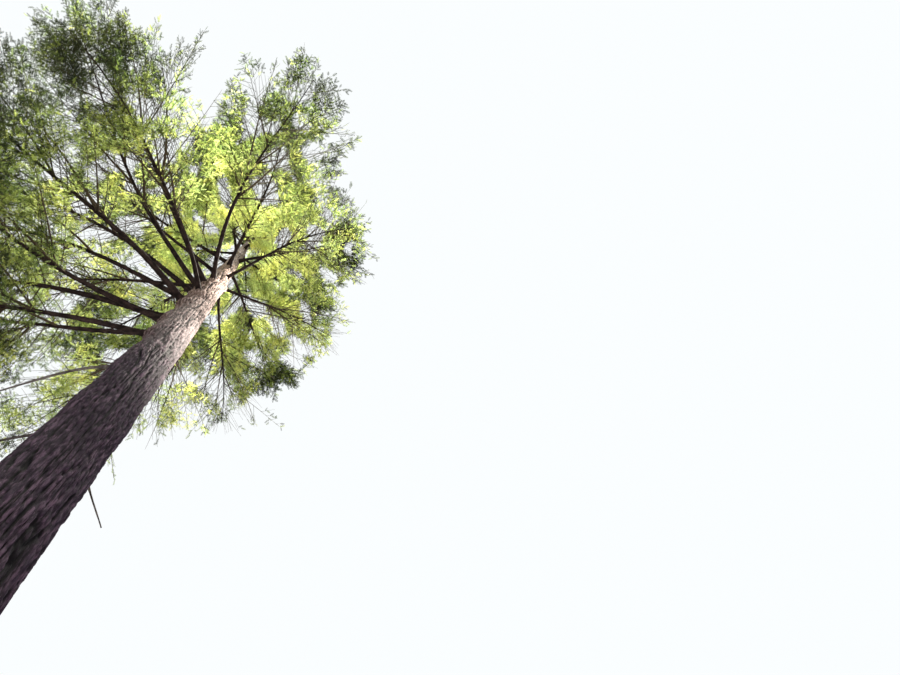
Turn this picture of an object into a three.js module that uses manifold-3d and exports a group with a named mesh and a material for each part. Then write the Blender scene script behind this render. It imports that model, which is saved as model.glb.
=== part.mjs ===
// A coast redwood of a second-growth grove, scaled to 40 m: one leaning, tapering trunk with a root
// flare, bare boughs with a mass of foliage at each tip, masses round the upper trunk and dead limbs.
// Millimetres, +Z up. The origin is the middle of the flat cut at ground level. Bearings are degrees
// from +X towards +Y, and the crown is fullest towards 190, its open side.

import * as THREE from "three";
import { mergeVertices } from "three/addons/utils/BufferGeometryUtils.js";
import Module from "manifold-3d";

const wasm = await Module();
wasm.setup();

// Trunk
const TREE_HEIGHT = 40000;
const TRUNK_TOP = 38500;
const BREAST_HEIGHT = 1300;
const STEM_RADIUS = 400; // at breast height, before the flare is added
const TAPER_POWER = 0.72; // of the share of height that is left above
const FLARE = 0.42; // share of the radius added at the ground
const FLARE_FADE = 600; // height in which the flare falls to about a third
const FLUTES = 6;
const FLUTE_DEPTH = 0.1; // share of the radius at the ground
const FLUTE_FADE = 1600;
const LEAN = 900; // how far the top stands off towards -X
const LEAN_POWER = 1.6;
const TRUNK_SIDES = 18;
const TRUNK_RINGS = 18;
const RING_CROWDING = 1.6; // above 1 the rings crowd towards the flare

// Limbs
const LIMB_SLENDERNESS = 0.0105; // radius at the trunk over the limb's reach
const BOUGH_END = 0.36; // share of a bough's reach that is bare
const BOUGH_END_RADIUS = 0.66; // share of the root radius that is left there
const LIMB_TIP_RADIUS = 7;
const STEM_END = 0.97; // share of the reach where a mass's stem ends in its last blade
const STEM_STEPS = 3; // straight steps of a stem's solid
const SEAT_GAP = 0.3; // between a limb and what carries it
const CLEARANCE = 45; // between the foliage of a mass and anything that isn't its own

// Each main bough that the photo shows, with the few on the far side: where it leaves the trunk,
// which way it points there, how far it reaches and the share of that by which its tip bends to
// the left, seen along it.
const BOUGHS = [
  { height: 14900, bearing: 150, reach: 5000, bend: 0.06 },
  { height: 15600, bearing: 136, reach: 4700, bend: 0.1 },
  { height: 16000, bearing: 162, reach: 5500, bend: 0.2 },
  { height: 16500, bearing: 153, reach: 5800, bend: -0.05 },
  { height: 17200, bearing: 105, reach: 3900, bend: -0.08 },
  { height: 17700, bearing: 188, reach: 6200, bend: -0.06 },
  { height: 18500, bearing: 166, reach: 5600, bend: -0.12 },
  { height: 18900, bearing: 224, reach: 4700, bend: -0.3 },
  { height: 19300, bearing: 178, reach: 5400, bend: -0.14 },
  { height: 19800, bearing: 193, reach: 5700, bend: 0.2 },
  { height: 20200, bearing: 70, reach: 3300, bend: 0.1 },
  { height: 20500, bearing: 208, reach: 6500, bend: -0.1 },
  { height: 21100, bearing: 237, reach: 5400, bend: 0.3 },
  { height: 21600, bearing: 138, reach: 4900, bend: 0.08 },
  { height: 22100, bearing: 346, reach: 3300, bend: -0.1 },
  { height: 22600, bearing: 288, reach: 3900, bend: 0.1 },
  { height: 23100, bearing: 52, reach: 3900, bend: -0.08 },
  { height: 23600, bearing: 176, reach: 4800, bend: 0.1 },
];

// The upper crown, where the limbs leave the trunk by the golden angle and are leafy nearly to it
const UPPER_LIMBS = 18;
const UPPER_BOTTOM = 24300;
const UPPER_TOP = 38000;
const GOLDEN_ANGLE = 137.508;
const FIRST_BEARING = 115;
const UPPER_REACH = 4600;
const TOP_REACH = 1200;
const CROWN_FULLNESS = 1.5; // above 1 the crown's outline bulges, at 1 it is a cone
const OPEN_SIDE = 190;
const OPEN_SIDE_GAIN = 0.16;
const UPPER_BARE = 0.14; // share of the reach with no twigs
const UPPER_BEND = 0.15;

// Dead limbs below the crown
const DEAD_LIMBS = [
  { height: 9300, bearing: 22, reach: 800, bend: 0.1 },
  { height: 9900, bearing: 131, reach: 1500, bend: 0.05 },
  { height: 12700, bearing: 146, reach: 2100, bend: -0.3 },
];

// Twigs and sprays
const TWIGS = 7;
const SHORT_LIMB = 4000; // a limb of less reach has one twig fewer
const TWIG_LENGTH = 0.34; // of the limb's reach, at the widest part of the mass
const TWIG_EXTRA = 480; // added to that on every limb, so that short limbs are leafy too
const TWIG_TILT = 60; // how far a twig may lean up or down from the level of the stem's sides
const UPPER_TWIG_TILT = 85; // the masses round the trunk stand farther apart and fill more height
const UPPER_TWIG_GAIN = 1.25;
const TRIES = 9; // each with another tilt and a little smaller, until a twig keeps to its space
const TRY_SCALE = 0.93;
const TWIG_RADIUS = 0.6; // of the stem's own, where the twig leaves it
const TWIG_BARE = 0.15; // share of a twig that has no sprays
const BLADE_THICKNESS = 0.04; // of its length
const BLADE_RIDGE = 0.4; // how far along the blade is thickest
// One edge of a toothed blade from its root to its tip: share of the length along, and across
const BLADE_EDGE = [
  [0, 0],
  [0.3, 0.27],
  [0.4, 0.11],
  [0.66, 0.25],
  [0.73, 0.09],
  [1, 0],
];

const bark = new THREE.MeshStandardMaterial({ color: 0x6b5148, roughness: 0.95, metalness: 0 });
const limbBark = new THREE.MeshStandardMaterial({ color: 0x4d3a33, roughness: 0.9, metalness: 0 });
const deadWood = new THREE.MeshStandardMaterial({ color: 0x6f655e, roughness: 0.9, metalness: 0 });
const foliage = new THREE.MeshStandardMaterial({ color: 0x5f8a2c, roughness: 0.7, metalness: 0 });

const UP = new THREE.Vector3(0, 0, 1);
const degrees = THREE.MathUtils.degToRad;
const lerp = THREE.MathUtils.lerp;

// A number from 0 to 1 that looks random and is always the same for the same three numbers
function chance(a, b, c) {
  const wave = Math.sin(a * 12.9898 + b * 78.233 + c * 37.719) * 43758.5453;
  return wave - Math.floor(wave);
}

// The same, from -1 to 1
function swing(a, b, c) {
  return 2 * chance(a, b, c) - 1;
}

// Solids

// The mesh as a solid, with the vertices that its faces share merged
function solidOf(geometry) {
  geometry.deleteAttribute("normal");
  geometry.deleteAttribute("uv");
  const merged = mergeVertices(geometry, 1e-3);
  return new wasm.Manifold(
    new wasm.Mesh({
      numProp: 3,
      vertProperties: merged.getAttribute("position").array,
      triVerts: new Uint32Array(merged.index.array),
    }),
  );
}

// A named mesh of the solid, placed by its root
function meshOf(name, solid, root, material) {
  const body = solid.decompose().sort((a, b) => b.volume() - a.volume())[0];
  const { vertProperties, triVerts } = body.getMesh();
  const geometry = new THREE.BufferGeometry();
  geometry.setAttribute("position", new THREE.BufferAttribute(vertProperties, 3));
  geometry.setIndex(new THREE.BufferAttribute(triVerts, 1));
  geometry.translate(-root.x, -root.y, -root.z);
  geometry.computeVertexNormals();
  const mesh = new THREE.Mesh(geometry, material);
  mesh.name = name;
  mesh.position.copy(root);
  return mesh;
}

// Trunk

function trunkCentre(height) {
  return new THREE.Vector3(-LEAN * (height / TREE_HEIGHT) ** LEAN_POWER, 0, height);
}

function trunkRadius(height) {
  const left = (TREE_HEIGHT - height) / (TREE_HEIGHT - BREAST_HEIGHT);
  return STEM_RADIUS * left ** TAPER_POWER * (1 + FLARE * Math.exp(-height / FLARE_FADE));
}

// The fluted buttresses of the foot, which die away upwards
function fluting(height, angle) {
  return 1 + FLUTE_DEPTH * Math.exp(-height / FLUTE_FADE) * Math.cos(FLUTES * angle);
}

// The trunk, larger all round by extra
function trunkSolid(extra) {
  const geometry = new THREE.CylinderGeometry(1, 1, 1, TRUNK_SIDES, TRUNK_RINGS);
  geometry.rotateX(Math.PI / 2);
  const position = geometry.getAttribute("position");
  const vertex = new THREE.Vector3();
  for (let i = 0; i < position.count; i++) {
    vertex.fromBufferAttribute(position, i);
    const height = TRUNK_TOP * (vertex.z + 0.5) ** RING_CROWDING;
    const angle = Math.atan2(vertex.y, vertex.x);
    const radius = trunkRadius(height) * fluting(height, angle) + extra;
    const centre = trunkCentre(height);
    position.setXYZ(i, centre.x + radius * vertex.x, centre.y + radius * vertex.y, height);
  }
  return solidOf(geometry);
}

// Limbs

// A limb's line: out from the trunk's middle, rising and then sagging, with a bend to one side
function limbPoint(limb, t) {
  const bearing = degrees(limb.bearing);
  const across = limb.reach * (limb.bend * t * t + limb.sway * Math.sin(5 * t + limb.phase) * t);
  const rise = limb.reach * (limb.slope * t - limb.sag * t * t);
  return trunkCentre(limb.height).add(
    new THREE.Vector3(
      limb.reach * t * Math.cos(bearing) - across * Math.sin(bearing),
      limb.reach * t * Math.sin(bearing) + across * Math.cos(bearing),
      rise,
    ),
  );
}

function limbDirection(limb, t) {
  const step = 1e-3;
  return limbPoint(limb, t + step).sub(limbPoint(limb, t - step)).normalize();
}

// A level direction at right angles to another one
function sideOf(direction) {
  const across = Math.abs(direction.z) < 0.98 ? UP : new THREE.Vector3(0, 1, 0);
  return direction.clone().cross(across).normalize();
}

// A tapering round limb along a path: a cylinder, or a cone where the tip has no radius, whose own
// Y is laid along the path
function taperedSolid({ pointAt, directionAt, rootRadius, tipRadius, sides, steps }) {
  const geometry = new THREE.CylinderGeometry(tipRadius, rootRadius, 1, sides, steps);
  const position = geometry.getAttribute("position");
  const vertex = new THREE.Vector3();
  for (let i = 0; i < position.count; i++) {
    vertex.fromBufferAttribute(position, i);
    const t = vertex.y + 0.5;
    const along = directionAt(t);
    const side = sideOf(along);
    const point = pointAt(t);
    point.addScaledVector(side, vertex.x).addScaledVector(side.clone().cross(along), vertex.z);
    position.setXYZ(i, point.x, point.y, point.z);
  }
  return solidOf(geometry);
}

// The stretch of a limb from one share of its reach to another
function limbSolid(limb, from, to, radii, sides, steps, gap = 0) {
  const start = limbDirection(limb, from).multiplyScalar(gap);
  return taperedSolid({
    pointAt: (t) => limbPoint(limb, lerp(from, to, t)).add(start),
    directionAt: (t) => limbDirection(limb, lerp(from, to, t)),
    rootRadius: radii[0],
    tipRadius: radii[1],
    sides,
    steps,
  });
}

// What a limb has beside its height, bearing and reach: it rises more the higher it stands
function grownLimb(limb, index) {
  const high = (limb.height - BOUGHS[0].height) / (TREE_HEIGHT - BOUGHS[0].height);
  return {
    ...limb,
    index,
    radius: LIMB_SLENDERNESS * limb.reach + 6,
    slope: lerp(0.2, 0.62, high) + 0.08 * swing(index, 1, 0),
    sag: lerp(0.38, 0.5, high) + 0.05 * swing(index, 2, 0),
    sway: 0.035,
    phase: 6 * chance(index, 4, 0),
  };
}

function upperLimb(i) {
  const share = i / (UPPER_LIMBS - 1);
  const bearing = (FIRST_BEARING + i * GOLDEN_ANGLE) % 360;
  const open = 1 + OPEN_SIDE_GAIN * Math.cos(degrees(bearing - OPEN_SIDE)) * (1 - share);
  return {
    height: lerp(UPPER_BOTTOM, UPPER_TOP, share),
    bearing,
    reach: open * lerp(UPPER_REACH, TOP_REACH, share ** CROWN_FULLNESS),
    bend: UPPER_BEND * swing(i, 3, 0),
    bare: UPPER_BARE,
    from: 0,
  };
}

// The leader that carries the top mass: the trunk's own line, straight on up
function leader() {
  return {
    height: TRUNK_TOP,
    bearing: 0,
    reach: TREE_HEIGHT - TRUNK_TOP,
    radius: trunkRadius(TRUNK_TOP),
    from: 0,
    bare: 0.1,
    upright: true,
  };
}

// Foliage

function stemPoint(limb, t) {
  return limb.upright
    ? trunkCentre(TRUNK_TOP).add(new THREE.Vector3(0, 0, limb.reach * t))
    : limbPoint(limb, t);
}

function stemDirection(limb, t) {
  return limb.upright ? UP.clone() : limbDirection(limb, t);
}

// The radius of a mass's stem, which tapers on from the end of its bough
function stemRadius(limb, t) {
  return lerp(rootRadiusOf(limb), LIMB_TIP_RADIUS, (t - limb.from) / (STEM_END - limb.from));
}

function rootRadiusOf(limb) {
  return limb.from > 0 ? limb.radius * BOUGH_END_RADIUS : limb.radius;
}

// A point on the straight steps of a mass's solid stem, which pass a little beside its curve
function stepPoint(limb, t) {
  const stepEnd = (i) => limbPoint(limb, lerp(limb.from, STEM_END, i / STEM_STEPS));
  const share = (STEM_STEPS * (t - limb.from)) / (STEM_END - limb.from);
  const step = Math.min(Math.floor(share), STEM_STEPS - 1);
  return stepEnd(step).lerp(stepEnd(step + 1), share - step);
}

function twigCount(limb) {
  return limb.reach < SHORT_LIMB ? TWIGS - 1 : TWIGS;
}

// Twig k of a mass: it leaves the stem to the left and right in turn, leaning up or down by chance,
// and points more and more forward towards the tip
function twigOf(limb, k, attempt) {
  const upper = limb.from === 0 && !limb.upright;
  const tilt = (upper ? UPPER_TWIG_TILT : TWIG_TILT) * swing(limb.index, k, 6 + 10 * attempt);
  const u = (k + 0.5) / twigCount(limb);
  const start = lerp(limb.bare, 1, 0.03 + 0.9 * u);
  const along = stemDirection(limb, start);
  const side = sideOf(along);
  const out = side
    .clone()
    .multiplyScalar(k % 2 ? 1 : -1)
    .applyAxisAngle(along, degrees(tilt));
  if (limb.upright) out.applyAxisAngle(along, degrees(k * GOLDEN_ANGLE));
  const spread = degrees(lerp(66, 38, u) + 8 * swing(limb.index, k, 5));
  const fullness = Math.sin(Math.PI * u ** 0.6) * (0.85 + 0.15 * swing(limb.index, k, 7));
  const length = (TWIG_EXTRA + TWIG_LENGTH * limb.reach) * (0.3 + fullness) * TRY_SCALE ** attempt;
  return {
    root: stemPoint(limb, start),
    foot: limb.upright ? stemPoint(limb, start) : stepPoint(limb, start),
    direction: along.multiplyScalar(Math.cos(spread)).addScaledVector(out, Math.sin(spread)),
    length: length * (upper ? UPPER_TWIG_GAIN : 1),
    radius: TWIG_RADIUS * stemRadius(limb, start),
    droop: 0.16,
  };
}

function twigPoint(twig, s) {
  return twig.root
    .clone()
    .addScaledVector(twig.direction, twig.length * s)
    .addScaledVector(UP, -twig.length * twig.droop * s * s);
}

// The bare part of a twig, from its foot in the middle of the solid stem to inside its blade
function twigSolid(twig) {
  return taperedSolid({
    pointAt: (t) => (t > 0 ? twigPoint(twig, t * (TWIG_BARE + 0.12)) : twig.foot.clone()),
    directionAt: () => twig.direction,
    rootRadius: twig.radius,
    tipRadius: 0,
    sides: 3,
    steps: 1,
  });
}

// A spray of needles as a thin toothed blade: a sphere of two rows is a double pyramid, whose rim is
// moved to the toothed outline
function bladeGeometry({ root, direction, length, roll }) {
  const rim = 2 * (BLADE_EDGE.length - 1);
  const geometry = new THREE.SphereGeometry(1, rim, 2);
  const position = geometry.getAttribute("position");
  const across = sideOf(direction).applyAxisAngle(direction, roll);
  const normal = across.clone().cross(direction);
  const vertex = new THREE.Vector3();
  for (let i = 0; i < position.count; i++) {
    vertex.fromBufferAttribute(position, i);
    const turn = Math.round((Math.atan2(vertex.z, -vertex.x) / (2 * Math.PI)) * rim);
    const onRim = Math.abs(vertex.y) < 0.5;
    const [along, wide] = onRim ? BLADE_EDGE[Math.abs(turn)] : [BLADE_RIDGE, 0];
    const point = root.clone().addScaledVector(direction, along * length);
    point.addScaledVector(across, Math.sign(turn) * wide * length);
    point.addScaledVector(normal, onRim ? 0 : (vertex.y * BLADE_THICKNESS * length) / 2);
    position.setXYZ(i, point.x, point.y, point.z);
  }
  return geometry;
}

// The blade that stands for a twig's sprays, from where the bare part of the twig ends
function bladeOf(limb, twig, k) {
  const root = twigPoint(twig, TWIG_BARE);
  const span = twigPoint(twig, 1).sub(root);
  return {
    root,
    direction: span.clone().normalize(),
    length: span.length(),
    roll: 1.2 * swing(limb.index, k, 9),
  };
}

// The space of each mass

// Straight stretches along the whole of a limb, each with the limb's radius there
function stretchesOf(limb) {
  const count = 14;
  return Array.from({ length: count }, (_, i) => ({
    line: new THREE.Line3(stemPoint(limb, i / count), stemPoint(limb, (i + 1) / count)),
    radius: limb.radius * (1 - i / count),
    leafy: i / count >= limb.from,
  }));
}

function distanceTo(stretches, point) {
  const nearest = new THREE.Vector3();
  return Math.min(
    ...stretches.map(({ line, radius }) => {
      line.closestPointToPoint(point, true, nearest);
      return nearest.distanceTo(point) - radius;
    }),
  );
}

// True where a point is nearer to its own mass's stem than to any other limb, and clear of the trunk
function inSpace(limb, limbs, point) {
  const offTrunk = point.distanceTo(trunkCentre(Math.min(point.z, TREE_HEIGHT)));
  const besideTrunk = point.z > TRUNK_TOP || offTrunk > trunkRadius(point.z) + CLEARANCE;
  const own = distanceTo(limb.leafyStretches, point);
  return (
    besideTrunk &&
    point.z <= TREE_HEIGHT &&
    limbs.every((other) => other === limb || distanceTo(other.stretches, point) > own + CLEARANCE)
  );
}

function keepsToSpace(limb, limbs, points) {
  return points.every((point) => inSpace(limb, limbs, point));
}

function verticesOf(geometry) {
  const position = geometry.getAttribute("position");
  return Array.from({ length: position.count }, (_, i) =>
    new THREE.Vector3().fromBufferAttribute(position, i),
  );
}

// A mass: the rest of its limb as a stem, with twigs and toothed blades fused on. What would leave
// the mass's space is skipped.
function massSolid(limb, limbs, seat) {
  const rootRadius = rootRadiusOf(limb);
  const stem = limb.upright
    ? taperedSolid({
        pointAt: (t) => stemPoint(limb, t * 0.8).add(new THREE.Vector3(0, 0, SEAT_GAP)),
        directionAt: () => UP.clone(),
        rootRadius,
        tipRadius: 0,
        sides: 5,
        steps: 1,
      })
    : limbSolid(limb, limb.from, STEM_END, [rootRadius, LIMB_TIP_RADIUS], 4, STEM_STEPS, limb.from && SEAT_GAP);
  const parts = [];
  for (let k = 0; k < twigCount(limb); k++) {
    for (let attempt = 0; attempt < TRIES; attempt++) {
      const twig = twigOf(limb, k, attempt);
      const blade = bladeGeometry(bladeOf(limb, twig, k));
      if (!keepsToSpace(limb, limbs, verticesOf(blade))) continue;
      parts.push(twigSolid(twig), solidOf(blade));
      break;
    }
  }
  parts.push(solidOf(bladeGeometry(tipBlade(limb))));
  const fused = parts.reduce((whole, part) => whole.add(part), stem);
  return limb.from > 0 || limb.upright ? fused : fused.subtract(seat);
}

// The blade at the end of a mass's stem, which gives the limb its full reach
function tipBlade(limb) {
  const length = limb.upright ? 0.55 * limb.reach : 0.08 * limb.reach + 150;
  const tip = stemPoint(limb, 1);
  const direction = stemDirection(limb, 0.98);
  return {
    root: tip.addScaledVector(direction, -length),
    direction,
    length,
    roll: limb.upright ? 0 : 0.3 * swing(limb.index, 0, 11),
  };
}

// The tree

const boughs = BOUGHS.map((bough, i) =>
  grownLimb({ ...bough, from: BOUGH_END, bare: BOUGH_END }, i),
);
const uppers = Array.from({ length: UPPER_LIMBS }, (_, i) =>
  grownLimb(upperLimb(i), BOUGHS.length + i),
);
const top = { ...leader(), index: BOUGHS.length + UPPER_LIMBS };
const limbs = [...boughs, ...uppers, top];
for (const limb of limbs) {
  limb.stretches = stretchesOf(limb);
  limb.leafyStretches = limb.stretches.filter((stretch) => stretch.leafy);
}

const seat = trunkSolid(SEAT_GAP);
const numbered = (word, i) => `${word}_${String(i + 1).padStart(2, "0")}`;

const tree = new THREE.Group();
tree.add(meshOf("trunk", trunkSolid(0), new THREE.Vector3(), bark));

const boughGroup = new THREE.Group();
boughs.forEach((limb, i) => {
  const radii = [limb.radius, limb.radius * BOUGH_END_RADIUS];
  const solid = limbSolid(limb, 0, BOUGH_END, radii, 6, 3).subtract(seat);
  boughGroup.add(meshOf(numbered("bough", i), solid, trunkCentre(limb.height), limbBark));
});
DEAD_LIMBS.forEach((dead, i) => {
  const limb = { ...grownLimb(dead, 80 + i), radius: 0.011 * dead.reach + 6 };
  const solid = limbSolid(limb, 0, 1, [limb.radius, LIMB_TIP_RADIUS], 5, 4).subtract(seat);
  boughGroup.add(meshOf(numbered("dead_limb", i), solid, trunkCentre(limb.height), deadWood));
});
tree.add(boughGroup);

const crown = new THREE.Group();
const addMass = (name, limb) =>
  crown.add(meshOf(name, massSolid(limb, limbs, seat), stemPoint(limb, limb.from), foliage));
boughs.forEach((limb, i) => addMass(numbered("bough_foliage", i), limb));
uppers.forEach((limb, i) => addMass(numbered("upper_foliage", i), limb));
addMass("top_foliage", top);
tree.add(crown);

export default tree;
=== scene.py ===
# %% [markdown]
# # A coast redwood, seen from beside its foot
#
# The solids of this tree are already built: a leaning trunk, long bare boughs and blocky masses that
# mark where the needles are. This lesson dresses them. The trunk and the boughs get real bark, and
# each mass is grown again with the same rule of twigs, carried on to fine shoots and needles.
# Everything is in metres, with +Z up and the origin in the middle of the trunk's foot.

# %% Load the solids
import math
from dataclasses import dataclass

import bmesh
import bpy
import numpy as np
from mathutils import Matrix, Vector, noise


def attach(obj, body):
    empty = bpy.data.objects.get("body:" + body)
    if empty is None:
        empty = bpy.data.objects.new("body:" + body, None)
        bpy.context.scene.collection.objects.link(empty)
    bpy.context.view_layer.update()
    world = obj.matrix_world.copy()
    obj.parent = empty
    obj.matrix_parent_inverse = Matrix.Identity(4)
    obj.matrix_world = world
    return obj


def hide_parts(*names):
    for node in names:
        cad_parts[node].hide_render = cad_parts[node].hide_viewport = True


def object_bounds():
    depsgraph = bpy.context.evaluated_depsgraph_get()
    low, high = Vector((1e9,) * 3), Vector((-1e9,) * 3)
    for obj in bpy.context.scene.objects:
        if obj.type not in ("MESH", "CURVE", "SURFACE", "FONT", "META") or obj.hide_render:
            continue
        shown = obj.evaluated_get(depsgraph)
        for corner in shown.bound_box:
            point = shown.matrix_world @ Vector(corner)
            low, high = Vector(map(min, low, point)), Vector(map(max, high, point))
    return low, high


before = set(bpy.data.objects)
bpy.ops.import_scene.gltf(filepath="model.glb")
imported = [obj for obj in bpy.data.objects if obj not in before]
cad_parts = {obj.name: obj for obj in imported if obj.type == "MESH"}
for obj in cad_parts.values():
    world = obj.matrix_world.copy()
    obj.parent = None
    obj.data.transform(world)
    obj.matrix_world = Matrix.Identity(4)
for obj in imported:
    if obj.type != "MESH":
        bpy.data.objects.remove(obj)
solid_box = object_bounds()
print("solids", len(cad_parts), "in a box of", [[round(c, 2) for c in p] for p in solid_box])

# %% [markdown]
# The photograph was taken about four trunk widths from the tree, looking nearly straight up. A camera
# like that is easiest to describe by where it is, how far it tilts from the zenith, and which way the
# top of the picture points, so those are the values, and the rotation is worked out from them.

# %% The camera
EYE = Vector((0.0, -3.5, 1.25))
TILT, TILT_BEARING = 13.7, 5.2  # degrees from the zenith, and the way it leans
TOP_BEARING = 226.4
FOCAL_LENGTH, SENSOR_WIDTH = 32.0, 36.0
FARTHEST_SEEN = 300.0
UP = Vector((0.0, 0.0, 1.0))


def level(bearing):
    """The level direction of a bearing in radians, anticlockwise from +X."""
    return Vector((math.cos(bearing), math.sin(bearing), 0.0))


def towards(bearing, off_zenith):
    """The direction of a place in the sky, from two angles in degrees."""
    aside = math.radians(off_zenith)
    return level(math.radians(bearing)) * math.sin(aside) + UP * math.cos(aside)


def in_scene(name, data):
    """A new object of the scene."""
    made = bpy.data.objects.new(name, data)
    bpy.context.scene.collection.objects.link(made)
    return made


look = towards(TILT_BEARING, TILT)
right = look.cross(level(math.radians(TOP_BEARING))).normalized()
upward = right.cross(look)
camera = in_scene("camera", bpy.data.cameras.new("camera"))
camera.matrix_world = Matrix.Translation(EYE) @ Matrix((right, upward, -look)).transposed().to_4x4()
camera.data.sensor_width = SENSOR_WIDTH
camera.data.lens = FOCAL_LENGTH
camera.data.clip_end = FARTHEST_SEEN
bpy.context.scene.camera = camera
print("camera at", tuple(EYE), "looking along", tuple(round(c, 3) for c in look))

# %% [markdown]
# Under a tall tree most light comes from above, through the crown. A wide, soft sun high overhead
# makes the thin needles glow from behind. A second, lower sun is kept for the needles and twigs, and
# a narrow lamp for the wood, where the boughs leave the trunk. What each lamp leaves out is set near
# the end, when the pieces are there.

# %% The lamps
SUN_BEARING, SUN_OFF_ZENITH, SUN_WIDTH = 245.0, 14.0, 5.0
SUN_COLOUR, SUN_ENERGY = (1.0, 0.96, 0.86), 12.0
GLOW_BEARING, GLOW_OFF_ZENITH, GLOW_WIDTH = 215.0, 42.0, 6.0
GLOW_COLOUR, GLOW_ENERGY = (1.0, 0.97, 0.88), 22.0
SHAFT_BEARING, SHAFT_OFF_ZENITH, SHAFT_WIDTH = 335.0, 33.0, 17.0
SHAFT_COLOUR, SHAFT_ENERGY = (1.0, 0.93, 0.82), 440000.0
SHAFT_TARGET, SHAFT_DISTANCE = Vector((-0.35, 0.0, 20.2)), 32.0
SHAFT_EDGE, SHAFT_LAMP_RADIUS = 0.7, 0.15


def new_lamp(name, kind, source, colour, energy, place=(0.0, 0.0, 0.0)):
    """A lamp whose light comes from the direction `source`."""
    lamp = in_scene(name, bpy.data.lights.new(name, kind))
    lamp.data.color = colour
    lamp.data.energy = energy
    turned = source.to_track_quat("Z", "Y").to_matrix().to_4x4()
    lamp.matrix_world = Matrix.Translation(place) @ turned
    return lamp


sun_from = towards(SUN_BEARING, SUN_OFF_ZENITH)
sun = new_lamp("high_sun", "SUN", sun_from, SUN_COLOUR, SUN_ENERGY)
sun.data.angle = math.radians(SUN_WIDTH)

glow_from = towards(GLOW_BEARING, GLOW_OFF_ZENITH)
glow = new_lamp("glow_in_the_needles", "SUN", glow_from, GLOW_COLOUR, GLOW_ENERGY)
glow.data.angle = math.radians(GLOW_WIDTH)

shaft_from = towards(SHAFT_BEARING, SHAFT_OFF_ZENITH)
shaft_place = SHAFT_TARGET + shaft_from * SHAFT_DISTANCE
shaft = new_lamp("shaft_of_sun", "SPOT", shaft_from, SHAFT_COLOUR, SHAFT_ENERGY, shaft_place)
shaft.data.spot_size = math.radians(SHAFT_WIDTH)
shaft.data.spot_blend = SHAFT_EDGE
shaft.data.shadow_soft_size = SHAFT_LAMP_RADIUS
print("sun from", tuple(round(c, 2) for c in sun_from), "and", glow.name, "and", shaft.name)

# %% [markdown]
# The sky does two things. As light it is brighter overhead than at its edge, which fills the shade on
# the bark, and to the camera it is one plain pale colour. A light path node tells the two apart.

# %% The sky
SKY_LOW, SKY_OVERHEAD = 0.2, 2.6
BRIGHTENS_ABOVE = 0.6  # the sine of the angle above the horizon
SKY_LIGHT, SKY_COLOUR = (0.9, 0.95, 1.0, 1.0), (0.96, 0.99, 1.0, 1.0)
SKY_SEEN = 1.0


def map_range(tree, value, low, high, to_low=0.0, to_high=1.0):
    """A node that carries a value over from one range to another."""
    node = tree.nodes.new("ShaderNodeMapRange")
    for key, number in (("From Min", low), ("From Max", high), ("To Min", to_low), ("To Max", to_high)):
        node.inputs[key].default_value = number
    tree.links.new(value, node.inputs["Value"])
    return node.outputs["Result"]


def height_in(tree, coordinates):
    """The Z of the Generated or the Object coordinates."""
    source = tree.nodes.new("ShaderNodeTexCoord")
    parts = tree.nodes.new("ShaderNodeSeparateXYZ")
    tree.links.new(source.outputs[coordinates], parts.inputs["Vector"])
    return parts.outputs["Z"]


world = bpy.data.worlds.new("pale_sky")
world.use_nodes = True
sky = world.node_tree
shaded = sky.nodes["Background"]
shaded.inputs["Color"].default_value = SKY_LIGHT
strength = map_range(sky, height_in(sky, "Generated"), BRIGHTENS_ABOVE, 1.0, SKY_LOW, SKY_OVERHEAD)
sky.links.new(strength, shaded.inputs["Strength"])
seen = sky.nodes.new("ShaderNodeBackground")
seen.inputs["Color"].default_value = SKY_COLOUR
seen.inputs["Strength"].default_value = SKY_SEEN
rays = sky.nodes.new("ShaderNodeLightPath")
either = sky.nodes.new("ShaderNodeMixShader")
sky.links.new(rays.outputs["Is Camera Ray"], either.inputs["Fac"])
sky.links.new(shaded.outputs["Background"], either.inputs[1])
sky.links.new(seen.outputs["Background"], either.inputs[2])
sky.links.new(either.outputs["Shader"], sky.nodes["World Output"].inputs["Surface"])
bpy.context.scene.world = world
bpy.context.scene.view_settings.view_transform = "Standard"
print("sky", SKY_OVERHEAD, "bright overhead and", SKY_LOW, "at its edge")

# %% [markdown]
# The floor is a plain pale disc. It throws back more light than it shows to the camera, as a sunny
# clearing would.

# %% The floor
FLOOR_RADIUS, FLOOR_DROP = 60.0, 0.003
FLOOR_BOUNCE, FLOOR_SEEN, FLOOR_ROUGHNESS = 0.5, 0.16, 0.9


def new_object(name, bm):
    """The finished bmesh as an object of the scene."""
    mesh = bpy.data.meshes.new(name)
    bm.to_mesh(mesh)
    bm.free()
    return in_scene(name, mesh)


def new_material(name):
    """A material with its tree of nodes and its shader."""
    material = bpy.data.materials.new(name)
    material.use_nodes = True
    return material, material.node_tree, material.node_tree.nodes["Principled BSDF"]


bm = bmesh.new()
bmesh.ops.create_circle(bm, cap_ends=True, radius=FLOOR_RADIUS, segments=64)
bmesh.ops.translate(bm, verts=bm.verts, vec=(0.0, 0.0, -FLOOR_DROP))
floor = new_object("floor", bm)
floor_paint, tree, shader = new_material("pale_floor")
rays = tree.nodes.new("ShaderNodeLightPath")
grey = map_range(tree, rays.outputs["Is Camera Ray"], 0.0, 1.0, FLOOR_BOUNCE, FLOOR_SEEN)
tree.links.new(grey, shader.inputs["Base Color"])
shader.inputs["Roughness"].default_value = FLOOR_ROUGHNESS
floor.data.materials.append(floor_paint)
print("floor", 2 * FLOOR_RADIUS, "m across")

# %% [markdown]
# A tree is a rule more than a shape. These are the sizes that the solids were built from, and with
# them the same lines come out again: the trunk's centre line and radius at any height, and a limb's
# line, which rises, sags and bends to one side.

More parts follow.
